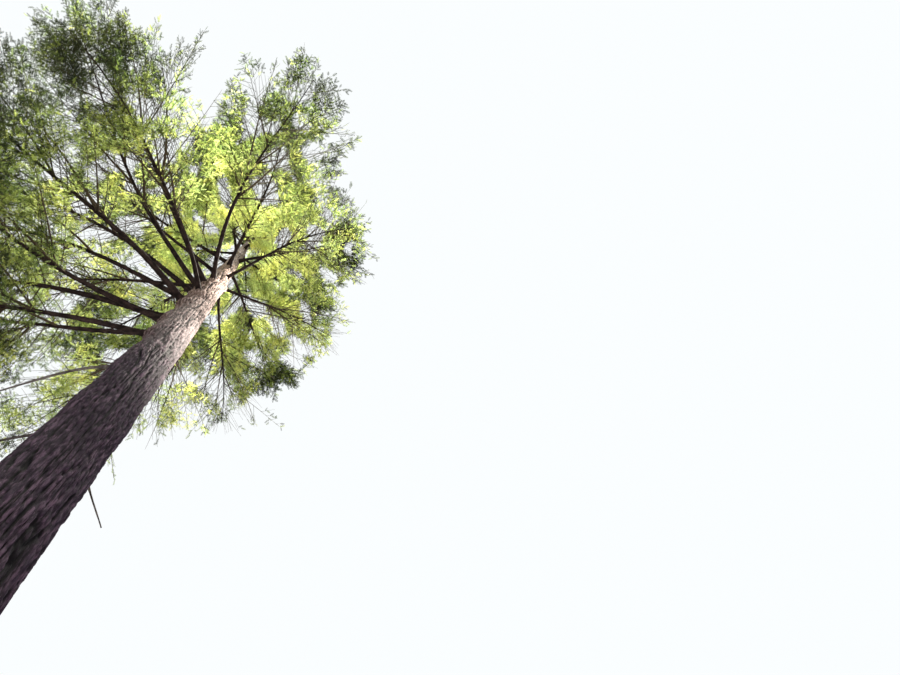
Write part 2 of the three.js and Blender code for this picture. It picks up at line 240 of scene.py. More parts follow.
# %% The tree's sizes
TREE_HEIGHT = 40.0
TRUNK_TOP = 38.5
BREAST_HEIGHT = 1.3
STEM_RADIUS = 0.4  # at breast height, before the flare is added
TAPER_POWER = 0.72  # of the share of height that is left above
FLARE, FLARE_FADE = 0.42, 0.6
FLUTES, FLUTE_DEPTH, FLUTE_FADE = 6, 0.1, 1.6
LEAN, LEAN_POWER = 0.9, 1.6  # how far the top stands off towards -X

LIMB_SLENDERNESS, DEAD_SLENDERNESS = 0.0105, 0.011  # radius at the trunk over the limb's reach
LEAST_RADIUS = 0.006  # added to that on every limb
BOUGH_END, BOUGH_END_RADIUS = 0.36, 0.66  # shares of the reach and of the root's radius
LIMB_TIP_RADIUS = 0.007
STEM_END = 0.97
CLEARANCE = 0.045  # between the foliage of a mass and anything that isn't its own
SLOPES, SLOPE_CHANCE = (0.2, 0.62), 0.08  # at the lowest bough and at the top
SAGS, SAG_CHANCE = (0.38, 0.5), 0.05
SWAY, SWAY_WAVES = 0.035, 5

# height on the trunk, bearing, reach and bend of each main bough
BOUGHS = [
    (14.9, 150, 5.0, 0.06),
    (15.6, 136, 4.7, 0.1),
    (16.0, 162, 5.5, 0.2),
    (16.5, 153, 5.8, -0.05),
    (17.2, 105, 3.9, -0.08),
    (17.7, 188, 6.2, -0.06),
    (18.5, 166, 5.6, -0.12),
    (18.9, 224, 4.7, -0.3),
    (19.3, 178, 5.4, -0.14),
    (19.8, 193, 5.7, 0.2),
    (20.2, 70, 3.3, 0.1),
    (20.5, 208, 6.5, -0.1),
    (21.1, 237, 5.4, 0.3),
    (21.6, 138, 4.9, 0.08),
    (22.1, 346, 3.3, -0.1),
    (22.6, 288, 3.9, 0.1),
    (23.1, 52, 3.9, -0.08),
    (23.6, 176, 4.8, 0.1),
]
DEAD_LIMBS = [(9.3, 22, 0.8, 0.1), (9.9, 131, 1.5, 0.05), (12.7, 146, 2.1, -0.3)]
DEAD_LIMB_NUMBER = 80  # the first dead limb's number in the formula of chance

UPPER_LIMBS, UPPER_BOTTOM, UPPER_TOP = 18, 24.3, 38.0
GOLDEN_ANGLE, FIRST_BEARING = 137.508, 115
UPPER_REACH, TOP_REACH, CROWN_FULLNESS = 4.6, 1.2, 1.5
OPEN_SIDE, OPEN_SIDE_GAIN = 190, 0.16
UPPER_BARE, UPPER_BEND = 0.14, 0.15
LEADER_BARE = 0.1
print(TREE_HEIGHT, "m tall, with", len(BOUGHS), "main boughs")

# %% [markdown]
# A few formulas turn the sizes into places. Chance is a formula as well: it looks random, but the same
# three numbers always give the same answer, so the limbs here are those of the solids on every run.


# %% Formulas of the trunk
def lerp(a, b, t):
    return a + (b - a) * t


def chance(a, b, c):
    """A number from 0 to 1 that looks random and is always the same for the same three numbers."""
    wave = math.sin(a * 12.9898 + b * 78.233 + c * 37.719) * 43758.5453
    return wave - math.floor(wave)


def swing(a, b, c):
    return 2 * chance(a, b, c) - 1


def trunk_centre(height):
    return Vector((-LEAN * (height / TREE_HEIGHT) ** LEAN_POWER, 0.0, height))


def trunk_radius(height):
    left = max(TREE_HEIGHT - height, 0.0) / (TREE_HEIGHT - BREAST_HEIGHT)
    return STEM_RADIUS * left**TAPER_POWER * (1 + FLARE * math.exp(-height / FLARE_FADE))


def fluting(height, angle):
    return 1 + FLUTE_DEPTH * math.exp(-height / FLUTE_FADE) * math.cos(FLUTES * angle)


print("trunk", round(2 * trunk_radius(BREAST_HEIGHT), 2), "m thick at breast height")

# %% [markdown]
# A limb is a curve with a radius. The boughs, the limbs of the upper crown, the dead limbs and the
# leader at the top differ only in their numbers, so one small class holds all of them. It is asked
# for a point, a direction or a radius at a share `t` of its reach.


# %% A limb
@dataclass
class Limb:
    index: int
    height: float
    bearing: float
    reach: float
    bend: float
    radius: float
    slope: float = 0.0
    sag: float = 0.0
    phase: float = 0.0
    leafy_from: float = 0.0  # where its mass of foliage starts
    bare: float = 0.0  # where the first twig stands
    upright: bool = False

    def point(self, t):
        if self.upright:
            return trunk_centre(TRUNK_TOP) + UP * (self.reach * t)
        bearing = math.radians(self.bearing)
        across = self.reach * (self.bend * t * t + SWAY * math.sin(SWAY_WAVES * t + self.phase) * t)
        rise = self.reach * (self.slope * t - self.sag * t * t)
        outward = level(bearing) * (self.reach * t)
        sideways = level(bearing + math.pi / 2) * across
        return trunk_centre(self.height) + outward + sideways + UP * rise

    def direction(self, t):
        return (self.point(t + 1e-3) - self.point(t - 1e-3)).normalized()

    def stem_root_radius(self):
        return self.radius * BOUGH_END_RADIUS if self.leafy_from else self.radius

    def radius_at(self, t):
        if t < self.leafy_from:
            return lerp(self.radius, self.stem_root_radius(), t / self.leafy_from)
        share = (t - self.leafy_from) / (STEM_END - self.leafy_from)
        return lerp(self.stem_root_radius(), LIMB_TIP_RADIUS, min(share, 1.0))


print("a limb has", ", ".join(Limb.__annotations__))

# %% [markdown]
# The higher a limb stands, the more steeply it rises and the more it sags. The limbs of the upper crown
# are set out round the trunk by the golden angle, as the leaves of a shoot are, and get shorter towards
# the top.


# %% All the limbs
def grown_limb(index, height, bearing, reach, bend, **rest):
    """A limb whose slope and sag follow from its height and from chance."""
    high = (height - BOUGHS[0][0]) / (TREE_HEIGHT - BOUGHS[0][0])
    return Limb(
        index,
        height,
        bearing,
        reach,
        bend,
        radius=LIMB_SLENDERNESS * reach + LEAST_RADIUS,
        slope=lerp(*SLOPES, high) + SLOPE_CHANCE * swing(index, 1, 0),
        sag=lerp(*SAGS, high) + SAG_CHANCE * swing(index, 2, 0),
        phase=6 * chance(index, 4, 0),
        **rest,
    )


def upper_limb(i):
    share = i / (UPPER_LIMBS - 1)
    bearing = (FIRST_BEARING + i * GOLDEN_ANGLE) % 360
    opened = 1 + OPEN_SIDE_GAIN * math.cos(math.radians(bearing - OPEN_SIDE)) * (1 - share)
    reach = opened * lerp(UPPER_REACH, TOP_REACH, share**CROWN_FULLNESS)
    height = lerp(UPPER_BOTTOM, UPPER_TOP, share)
    bend = UPPER_BEND * swing(i, 3, 0)
    return grown_limb(len(BOUGHS) + i, height, bearing, reach, bend, bare=UPPER_BARE)


boughs = [grown_limb(i, *row, leafy_from=BOUGH_END, bare=BOUGH_END) for i, row in enumerate(BOUGHS)]
uppers = [upper_limb(i) for i in range(UPPER_LIMBS)]
dead_limbs = [grown_limb(DEAD_LIMB_NUMBER + i, *row) for i, row in enumerate(DEAD_LIMBS)]
for dead in dead_limbs:
    dead.radius = DEAD_SLENDERNESS * dead.reach + LEAST_RADIUS
leader = Limb(
    index=len(BOUGHS) + UPPER_LIMBS,
    height=TRUNK_TOP,
    bearing=0,
    reach=TREE_HEIGHT - TRUNK_TOP,
    bend=0,
    radius=trunk_radius(TRUNK_TOP),
    bare=LEADER_BARE,
    upright=True,
)
limbs = [*boughs, *uppers, leader]
print(len(boughs), "boughs,", len(uppers), "upper limbs,", len(dead_limbs), "dead limbs")

# %% [markdown]
# Redwood bark is thick and fibrous. It splits into long upright ridges that lean together and part
# again, with dark furrows between, and the ridges are shredded into flakes. The relief is real
# geometry here, because the edge of the trunk shows against the sky. A furrow is a wave round the
# trunk that wanders as it climbs, so furrows meet and part, and it fades out here and there. The
# flakes are noise that is stretched along the trunk. The depth goes into an attribute as well, so the
# material can paint the furrows darker, as painted shade in them.

# %% Relief of the bark
FURROWS, SMALL_FURROWS = 15, 38  # round the trunk
FURROW_WIDTH = 0.42
FURROW_DEPTH, SMALL_FURROW_DEPTH = 0.9, 0.85  # the second is a share of the first
WANDER, WANDER_ROUND, WANDER_ALONG = 3.0, 1.3, 0.42
FINE_WANDER, FINE_WANDER_SCALE = 0.35, 3.1
FURROW_KEPT, FURROW_FADING = 0.8, 0.9
FADING_SCALE = Vector((2.0, 2.0, 1.6))
FLAKE_WIDTH, FLAKE_STRETCH = 0.036, 6.5
FINE_FLAKES, FINE_FLAKE_SCALE = 0.6, Vector((2.1, 2.1, 1.6))
RIDGE_TOP = 0.76
FLAKE_DEPTH, FLAKE_MIDDLE = 0.8, 0.25


def clamped(value):
    return max(0.0, min(1.0, value))


def furrow(angle, height, count, seed):
    """1 in the middle of an upright furrow that wanders round the trunk, and 0 on the ridge."""
    x, y = math.cos(angle) * WANDER_ROUND + seed, math.sin(angle) * WANDER_ROUND
    place = Vector((x, y, height * WANDER_ALONG))
    wander = noise.noise(place) + FINE_WANDER * noise.noise(place * FINE_WANDER_SCALE)
    wave = math.sin(0.5 * count * angle + WANDER * wander)
    kept = FURROW_KEPT + FURROW_FADING * noise.noise(place * FADING_SCALE)
    return clamped(1.0 - abs(wave) / FURROW_WIDTH) * clamped(kept)


def bark_relief(point, angle):
    """From 0 in a furrow to 1 on a ridge, for a point on the trunk."""
    deep = furrow(angle, point.z, FURROWS, 0.0)
    shallow = SMALL_FURROW_DEPTH * furrow(angle, point.z, SMALL_FURROWS, 5.7)
    flake = Vector((point.x, point.y, point.z / FLAKE_STRETCH)) / FLAKE_WIDTH
    flakes = abs(noise.noise(flake)) + FINE_FLAKES * abs(noise.noise(flake * FINE_FLAKE_SCALE))
    return clamped(RIDGE_TOP - FURROW_DEPTH * max(deep, shallow) + FLAKE_DEPTH * (flakes - FLAKE_MIDDLE))


print("relief at breast height", round(bark_relief(Vector((0.41, 0.0, 1.3)), 0.0), 2))

# %% [markdown]
# A real trunk is never quite even, and it swells where a bough leaves it, because the wood of both
# grows on together. All of that is one factor on the trunk's radius.

# %% Swelling near the boughs
SWELLING, SWELLING_HEIGHT, SWELLING_WIDTH = 0.3, 0.3, 0.7
SWELLING_BELOW, SWELLING_END = 0.1, 2.5  # metres below the bough, and where it has died away
UNEVENNESS, UNEVEN_ALONG, UNEVEN_FROM = 0.08, 1.2, 14.0


def swelling(height, angle):
    """How much thicker the trunk is here, because a bough leaves it near this point."""
    most = 0.0
    for limb in boughs:
        rise = (height - limb.height + SWELLING_BELOW) / SWELLING_HEIGHT
        if abs(rise) < SWELLING_END:
            turn = (angle - math.radians(limb.bearing) + math.pi) % (2 * math.pi) - math.pi
            most = max(most, math.exp(-(rise**2) - (turn / SWELLING_WIDTH) ** 2))
    lumps = noise.noise(Vector((math.cos(angle), math.sin(angle), UNEVEN_ALONG * height)))
    return 1 + SWELLING * most + UNEVENNESS * lumps * min(1.0, height / UNEVEN_FROM)


lowest = boughs[0]
print("swelling", round(swelling(lowest.height, math.radians(lowest.bearing)), 2), "at the lowest bough")

# %% [markdown]
# The trunk starts as a plain cylinder made by one operator. Cutting its upright edges many times
# turns it into rings, and each point is then moved to its place: the ring's height gives the centre
# and the radius, the angle gives the flutes of the foot, and the relief does the rest. Two pieces
# keep each mesh to a sensible size, and they meet at one height.

# %% The trunk
TRUNK_SPLIT = 13.0
LOWER_SEGMENTS, LOWER_RINGS, LOWER_CROWDING = 270, 350, 1.15  # above 1 the rings crowd downwards
UPPER_SEGMENTS, UPPER_RINGS, UPPER_CROWDING = 120, 620, 1.0
RELIEF_DEPTH, RELIEF_LEVEL = 0.05, 0.7  # at this level the bark is neither raised nor cut
THIN_BARK = 0.25  # the share of the depth that is left where the trunk is thinnest


def cut_into_rings(bm, edges, rings):
    """Cuts the upright edges of a new cylinder of height 1."""
    uprights = [e for e in edges if abs(e.verts[0].co.z - e.verts[1].co.z) > 0.5]
    bmesh.ops.subdivide_edges(bm, edges=uprights, cuts=rings - 1)


def ringed_cylinder(segments, rings):
    """A closed cylinder of radius 1 from z 0 to z 1, cut into rings."""
    bm = bmesh.new()
    bmesh.ops.create_cone(bm, cap_ends=True, segments=segments, radius1=1, radius2=1, depth=1)
    bmesh.ops.translate(bm, verts=bm.verts, vec=(0, 0, 0.5))
    cut_into_rings(bm, bm.edges, rings)
    return bm


def trunk_piece(name, bottom, top, segments, rings, crowding):
    bm = ringed_cylinder(segments, rings)
    relief = bm.verts.layers.float.new("relief")
    for vertex in bm.verts:
        height = lerp(bottom, top, vertex.co.z**crowding)
        angle = math.atan2(vertex.co.y, vertex.co.x)
        outward = Vector((vertex.co.x, vertex.co.y, 0.0))
        radius = trunk_radius(height) * fluting(height, angle) * swelling(height, angle)
        surface = trunk_centre(height) + outward * radius
        vertex[relief] = bark_relief(surface, angle)
        depth = RELIEF_DEPTH * min(1.0, THIN_BARK + radius / STEM_RADIUS)
        vertex.co = surface + outward * (depth * (vertex[relief] - RELIEF_LEVEL))
    piece = new_object(name, bm)
    piece.data.shade_smooth()
    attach(piece, "root")
    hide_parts("trunk")
    print(name, len(piece.data.polygons), "faces")
    return piece


trunk_pieces = [
    trunk_piece("trunk_lower", 0.0, TRUNK_SPLIT, LOWER_SEGMENTS, LOWER_RINGS, LOWER_CROWDING),
    trunk_piece("trunk_upper", TRUNK_SPLIT, TRUNK_TOP, UPPER_SEGMENTS, UPPER_RINGS, UPPER_CROWDING),
]

# %% [markdown]
# A bough is the same idea on a curve. The cylinder's own axis is laid along the limb, and its rings
# shrink with the limb's radius. Its bark is thin, so it has knots in place of furrows.

# %% A tube along a line
LIMB_RELIEF = 0.2  # of the limb's radius
KNOT_SIZE = 0.07
FINE_KNOTS, FINE_KNOT_SIZE = 0.5, 0.4  # of the large ones
KNOT_SHADE = 0.6


def side_of(direction):
    across = UP if abs(direction.z) < 0.98 else Vector((0.0, 1.0, 0.0))
    return direction.cross(across).normalized()


def add_tube(bm, relief, path, segments, rings):
    """Adds a closed tube to the bmesh, where path(t) gives a centre, a direction and a radius."""
    before = len(bm.verts)
    made = bmesh.ops.create_cone(bm, cap_ends=True, segments=segments, radius1=1, radius2=1, depth=1)
    cut_into_rings(bm, dict.fromkeys(e for vertex in made["verts"] for e in vertex.link_edges), rings)
    bm.verts.ensure_lookup_table()
    sections = {}
    for vertex in bm.verts[before:]:
        t = round(vertex.co.z + 0.5, 5)
        if t not in sections:
            centre, along, radius = path(t)
            side = side_of(along)
            sections[t] = centre, side, along.cross(side), radius
        centre, side, rise, radius = sections[t]
        outward = side * vertex.co.x + rise * vertex.co.y
        vertex.co = centre + outward * radius
        fine = noise.noise(vertex.co / (FINE_KNOT_SIZE * KNOT_SIZE))
        knots = noise.noise(vertex.co / KNOT_SIZE) + FINE_KNOTS * fine
        vertex[relief] = clamped(KNOT_SHADE + KNOT_SHADE * knots)
        vertex.co += outward * (radius * LIMB_RELIEF * knots)


print("knots stand out by", LIMB_RELIEF, "of a limb's radius")

# %% [markdown]
# A swollen collar joins a bough to the trunk, where the real wood grows out round the branch. The stem
# of each mass of foliage is its bough carried on to the tip, so one piece of wood runs the whole way.

# %% Boughs and stems
INSIDE_TRUNK = 0.8  # of the trunk's radius: a limb's wood starts this far out
COLLAR_LENGTH, COLLAR_GAIN = 0.25, 0.5
COLLAR_FADE, COLLAR_POWER = 2.5, 1.3
BOUGH_MESH, UPPER_MESH, DEAD_MESH = (12, 72), (8, 44), (8, 24)  # faces round, and rings


def limb_path(limb, end):
    """The limb from just inside the trunk to a share of its reach, with its collar."""
    trunk_edge = trunk_radius(limb.height)
    inside = 0.0 if limb.upright else INSIDE_TRUNK * trunk_edge / limb.reach

    def path(t):
        share = lerp(inside, end, t)
        out = max(share * limb.reach - trunk_edge, 0.0) / COLLAR_LENGTH
        collar = 1.0 if limb.upright else 1 + COLLAR_GAIN * math.exp(-COLLAR_FADE * out**COLLAR_POWER)
        return limb.point(share), limb.direction(share), limb.radius_at(share) * collar

    return path


def wood_piece(name, nodes, tubes):
    """One piece of wood from a list of (path, segments, rings)."""
    bm = bmesh.new()
    relief = bm.verts.layers.float.new("relief")
    for tube in tubes:
        add_tube(bm, relief, *tube)
    piece = new_object(name, bm)
    piece.data.shade_smooth()
    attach(piece, "root")
    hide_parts(*nodes)
    print(name, len(piece.data.polygons), "faces")
    return piece


def numbered(word, count):
    return [f"{word}_{i + 1:02d}" for i in range(count)]


bough_nodes = numbered("bough", len(boughs))
mass_nodes = [
    *numbered("bough_foliage", len(boughs)),
    *numbered("upper_foliage", len(uppers)),
    "top_foliage",
]
bough_tubes = [(limb_path(limb, STEM_END), *BOUGH_MESH) for limb in boughs]
upper_tubes = [(limb_path(limb, STEM_END), *UPPER_MESH) for limb in [*uppers, leader]]
bough_wood = wood_piece("boughs", [*bough_nodes, *mass_nodes], bough_tubes + upper_tubes)
dead_tubes = [(limb_path(limb, 1.0), *DEAD_MESH) for limb in dead_limbs]
dead_wood = wood_piece("dead_limbs", numbered("dead_limb", len(dead_limbs)), dead_tubes)

# %% [markdown]
# Each mass keeps to its own space: a point belongs to the limb whose line is nearest, as cells form
# round seeds. The test measures from a point to every straight stretch of every limb at once, which
# is what arrays are good at.

# %% The space of each mass
STRETCHES = 14


def stretch_table(limbs):
    starts, ends, radii, owners, leafy = [], [], [], [], []
    for limb in limbs:
        for i in range(STRETCHES):
            starts.append(limb.point(i / STRETCHES))
            ends.append(limb.point((i + 1) / STRETCHES))
            radii.append(limb.radius * (1 - i / STRETCHES))
            owners.append(limb.index)
            leafy.append(i / STRETCHES >= limb.leafy_from)
    return (np.array(v) for v in (starts, ends, radii, owners, leafy))


starts, ends, stretch_radius, owner, leafy = stretch_table(limbs)
spans = ends - starts
span_squares = (spans**2).sum(1)


def distance_from_trunk(points):
    height = np.clip(points[:, 2], 0, TREE_HEIGHT)
    return np.hypot(points[:, 0] + LEAN * (height / TREE_HEIGHT) ** LEAN_POWER, points[:, 1])


def in_space(index, points):
    """For each point, whether it is nearer to its own leafy stem than to any other limb."""
    points = np.asarray(points, float).reshape(-1, 3)
    offset = points[:, None, :] - starts[None]
    share = np.clip((offset * spans).sum(2) / span_squares, 0, 1)
    gap = np.linalg.norm(offset - share[..., None] * spans, axis=2) - stretch_radius
    own = gap[:, (owner == index) & leafy].min(1)
    others = gap[:, owner != index].min(1)
    height = points[:, 2]
    left = (TREE_HEIGHT - np.clip(height, 0, TREE_HEIGHT)) / (TREE_HEIGHT - BREAST_HEIGHT)
    off_trunk = distance_from_trunk(points) > STEM_RADIUS * left**TAPER_POWER + CLEARANCE
    return (others > own + CLEARANCE) & (off_trunk | (height > TRUNK_TOP)) & (height <= TREE_HEIGHT)


print("stretches", len(starts))

# %% [markdown]
# The solids have a few large twigs on each stem, to the left and right in turn. The same twigs stand
# here, and between them finer ones grow by the same rule with numbers of their own, so a kind of twig
# is no more than a set of numbers.

# %% Kinds of twig
TWIGS = 7
SHORT_LIMB = 4.0  # a limb of less reach has one twig fewer


@dataclass
class Growth:
    """A kind of twig: how many stand on a limb, and how each one leaves it."""

    count: int
    seed: int
    scale: float = 1.0
    tilt: float = 60
    spread: tuple = (66, 38)  # at the first and at the last twig
    along: float = 0.9  # the share of the stem that carries them
    thickness: float = 0.6
    curl: float = 0.0  # how far it bends back to the limb's own direction


UPPER_TWIG_TILT, UPPER_TWIG_GAIN = 85, 1.25
FORKS = Growth(count=4, seed=300, scale=1.1, tilt=28, spread=(27, 20), along=0.5, thickness=0.8, curl=0.3)
FINE = Growth(count=54, seed=100, scale=0.75, tilt=80, thickness=0.4, curl=0.12)
FINE_ABOVE = Growth(count=60, seed=100, scale=1.0, tilt=88, thickness=0.35, curl=0.12)


def main_growth(limb):
    """The source's own twigs, which are one fewer on a short limb and longer round the upper trunk."""
    count = TWIGS - 1 if limb.reach < SHORT_LIMB else TWIGS
    if limb.leafy_from or limb.upright:
        return Growth(count, seed=0)
    return Growth(count, seed=0, scale=UPPER_TWIG_GAIN, tilt=UPPER_TWIG_TILT)


print("kinds", [main_growth(limbs[0]).count, FORKS.count, FINE.count, FINE_ABOVE.count])

# %% [markdown]
# A twig is a slightly drooping line with a flat fan of shoots on it, turned by its roll. Its place, its
# spread and its length follow from its number on the limb, and chance moves each of them a little.

# %% A twig
TWIG_LENGTH, TWIG_EXTRA = 0.34, 0.48
TWIG_FULLEST, TWIG_LEAST, TWIG_CHANCE = 0.6, 0.3, 0.15  # of a twig's length, by its place on the limb
FIRST_TWIG = 0.03
TWIG_BARE = 0.15
TWIG_DROOP, TWIG_ROLL = 0.16, 1.2
SPREAD_CHANCE = 8
TRY_SCALE = 0.93
BLADE_EDGE = [(0, 0), (0.3, 0.27), (0.4, 0.11), (0.66, 0.25), (0.73, 0.09), (1, 0)]


@dataclass
class Twig:
    limb: Limb
    root: Vector
    direction: Vector
    bow: Vector
    length: float
    roll: float
    radius: float

    def point(self, s):
        return self.root + self.direction * (self.length * s) + self.bow * (self.length * s * s)

    def fan(self):
        """The direction of the fan of shoots, and the two directions across it."""
        along = (self.point(1.0) - self.point(TWIG_BARE)).normalized()
        across = Matrix.Rotation(self.roll, 3, along) @ side_of(along)
        return along, across, across.cross(along)

    def outline(self):
        """Points round the toothed blade that stands for this twig in the solids."""
        along, across, _ = self.fan()
        root = self.point(TWIG_BARE)
        span = (self.point(1.0) - root).length
        return [
            root + along * (x * span) + across * (side * y * span)
            for x, y in BLADE_EDGE
            for side in (-1, 1)
        ]


def twig_of(limb, k, attempt, growth):
    u = (k + 0.5) / growth.count
    number = k + growth.seed
    start = lerp(limb.bare, 1, FIRST_TWIG + growth.along * u)
    along = limb.direction(start)
    tilt = math.radians(growth.tilt * swing(limb.index, number, 6 + 10 * attempt))
    out = Matrix.Rotation(tilt, 3, along) @ (side_of(along) * (1 if k % 2 else -1))
    if limb.upright:
        out = Matrix.Rotation(math.radians(k * GOLDEN_ANGLE), 3, along) @ out
    spread = math.radians(lerp(*growth.spread, u) + SPREAD_CHANCE * swing(limb.index, number, 5))
    fullness = math.sin(math.pi * u**TWIG_FULLEST)
    fullness *= 1 - TWIG_CHANCE + TWIG_CHANCE * swing(limb.index, number, 7)
    direction = along * math.cos(spread) + out * math.sin(spread)
    length = (TWIG_EXTRA + TWIG_LENGTH * limb.reach) * (TWIG_LEAST + fullness) * TRY_SCALE**attempt
    return Twig(
        limb,
        root=limb.point(start),
        direction=direction,
        bow=(along - direction) * growth.curl - UP * TWIG_DROOP,
        length=growth.scale * length,
        roll=TWIG_ROLL * swing(limb.index, number, 9),
        radius=growth.thickness * limb.radius_at(start) * min(growth.scale, 1.0),
    )


first_twig = twig_of(limbs[0], 0, 0, main_growth(limbs[0]))
print("the first twig is", round(first_twig.length, 2), "m long")

# %% [markdown]
# A twig that would leave the space of its mass is tried again with another tilt and a little shorter.
# The first try that keeps to the space is taken, and a twig that has none is left out.

# %% Growing the twigs
TRIES = 9


def grown_twigs(limb, growth):
    kept = []
    for k in range(growth.count):
        for attempt in range(TRIES):
            twig = twig_of(limb, k, attempt, growth)
            if in_space(limb.index, twig.outline()).all():
                kept.append(twig)
                break
    return kept


twigs = []
for limb in limbs:
    kinds = [main_growth(limb), *([FORKS, FINE] if limb.leafy_from else [FINE_ABOVE])]
    twigs += [twig for growth in kinds for twig in grown_twigs(limb, growth)]
print(len(twigs), "twigs")

# %% [markdown]
# Thousands of twigs, shoots and sprays repeat a few small shapes, so each shape is made once, and one
# mesh holds many copies of it. That is far lighter than thousands of objects. A place is a root, two
# directions and a length, and all the places of one kind are kept together in arrays.


# %% Many copies in one mesh
def joined(name, template, placed):
    """One object with the template's faces once for each row of corners in `placed`."""
    template.verts.index_update()
    faces = [[v.index for v in face.verts] for face in template.faces]
    count, size = placed.shape[:2]
    loops = np.concatenate(faces)
    loop_total = np.tile([len(face) for face in faces], count)
    mesh = bpy.data.meshes.new(name)
    mesh.vertices.add(count * size)
    mesh.vertices.foreach_set("co", placed.ravel().astype(np.float32))
    mesh.loops.add(count * len(loops))
    indices = (loops[None] + np.arange(count)[:, None] * size).ravel()
    mesh.loops.foreach_set("vertex_index", indices.astype(np.int32))
    mesh.polygons.add(count * len(faces))
    mesh.polygons.foreach_set("loop_start", (np.cumsum(loop_total) - loop_total).astype(np.int32))
    mesh.update(calc_edges=True)
    return in_scene(name, mesh)


def units(vectors):
    return vectors / np.linalg.norm(vectors, axis=-1, keepdims=True)


@dataclass
class Places:
    """Where many copies of a shape start, where their X and Y point, and how long they are."""

    root: np.ndarray
    along: np.ndarray
    across: np.ndarray
    length: np.ndarray

    def tips(self):
        return self.root + self.along * self.length[:, None]

    def chosen(self, which):
        return Places(self.root[which], self.along[which], self.across[which], self.length[which])

    def corners(self, template, width):
        """The template's corners at each place, for a template of length 1 along its own X."""
        local = np.array([v.co for v in template.verts])
        scales = self.length[:, None], width[:, None], width[:, None]
        directions = self.along, self.across, np.cross(self.along, self.across)
        axes = np.stack([d * scale for d, scale in zip(directions, scales)], axis=1)
        return self.root[:, None] + np.einsum("vi,nij->nvj", local, axes)


print("a place has", ", ".join(Places.__annotations__))

# %% [markdown]
# A twig carries side shoots on both sides of its fan, longest a third of the way along. Arrays hold
# all the shoots of a twig at once, and those whose tips leave the twig's space are dropped.

# %% Side shoots
SHOOT_SPACING, FEWEST_SHOOTS = 0.085, 4
FAN_WIDTH = 0.3  # half the fan's width over its length
FAN_START, FAN_POWER = 0.12, 0.75  # the fan's outline, which is widest a third of the way along
SHORTEST_SHOOT = 0.12
SHOOT_LENGTHS = 0.75, 1.1  # of the fan's own width there
SHOOT_SPREAD, SHOOT_SPREAD_CHANCE = 52, 9
SPREAD_TAPER = 1.1, 0.75  # at the first and at the last shoot
SHOOT_LIFT, SHOOT_DROOP = 0.3, 0.12
LAST_SHOOT, TIP_SHOOT = 0.97, 0.9
TIP_SHOOT_LENGTH = 0.1  # of the fan's length, added to the shortest shoot
rng = np.random.default_rng(40)


def shoots_of(twig):
    """The side shoots of a twig, to the left and right in turn, and one that carries on its tip."""
    along, across, normal = (np.array(v) for v in twig.fan())
    span = twig.length * (1 - TWIG_BARE)
    count = max(FEWEST_SHOOTS, int(span / SHOOT_SPACING))
    s = (np.arange(count) + 0.5) / count
    side = np.where(np.arange(count) % 2, 1.0, -1.0)
    width = FAN_WIDTH * span * np.sin(np.pi * (FAN_START + (1 - FAN_START) * s) ** FAN_POWER)
    length = np.maximum(SHORTEST_SHOOT, width / math.sin(math.radians(SHOOT_SPREAD)))
    length *= rng.uniform(*SHOOT_LENGTHS, count)
    chances = rng.uniform(-SHOOT_SPREAD_CHANCE, SHOOT_SPREAD_CHANCE, count)
    spread = np.radians(SHOOT_SPREAD * lerp(*SPREAD_TAPER, s) + chances)
    direction = np.outer(np.cos(spread), along) + np.outer(side * np.sin(spread), across)
    direction = direction + np.outer(rng.uniform(-SHOOT_LIFT, SHOOT_LIFT, count), normal)
    direction = units(direction - SHOOT_DROOP * np.array(UP))
    return Places(
        root=np.array([twig.point(t) for t in [*lerp(TWIG_BARE, LAST_SHOOT, s), TIP_SHOOT]]),
        along=np.vstack([direction, along]),
        across=np.vstack([units(np.cross(normal, direction)), across]),
        length=np.append(length, TIP_SHOOT_LENGTH * span + SHORTEST_SHOOT),
    )


grown, on_bough = [], []
for twig in twigs:
    shoots = shoots_of(twig)
    grown.append(shoots.chosen(in_space(twig.limb.index, shoots.tips())))
    on_bough += [twig.limb.leafy_from > 0] * len(grown[-1].root)
shoots = Places(*(np.concatenate([getattr(g, key) for g in grown]) for key in Places.__annotations__))
print(len(shoots.root), "side shoots with room to grow")

# %% [markdown]
# Each side shoot carries flat sprays of needles, to the left and right in turn, as a twig carries its
# side shoots. The sprays of the upper crown are larger, because it is seen from farther off.

# %% Sprays on the shoots
SPRAY_SPACING = 0.039
SPRAY_LENGTH, SPRAY_LENGTHS = 0.124, (0.75, 1.15)
HIGH_SPRAY_GAIN = 1.5
SPRAY_SPREAD, SPRAY_SPREAD_CHANCE = 46, 12
SPRAY_LIFT, SPRAY_ROLL = 0.35, 0.5
FIRST_SPRAY, TIP_SPRAY = 0.6, 0.95  # a share of the step, and a share of the shoot


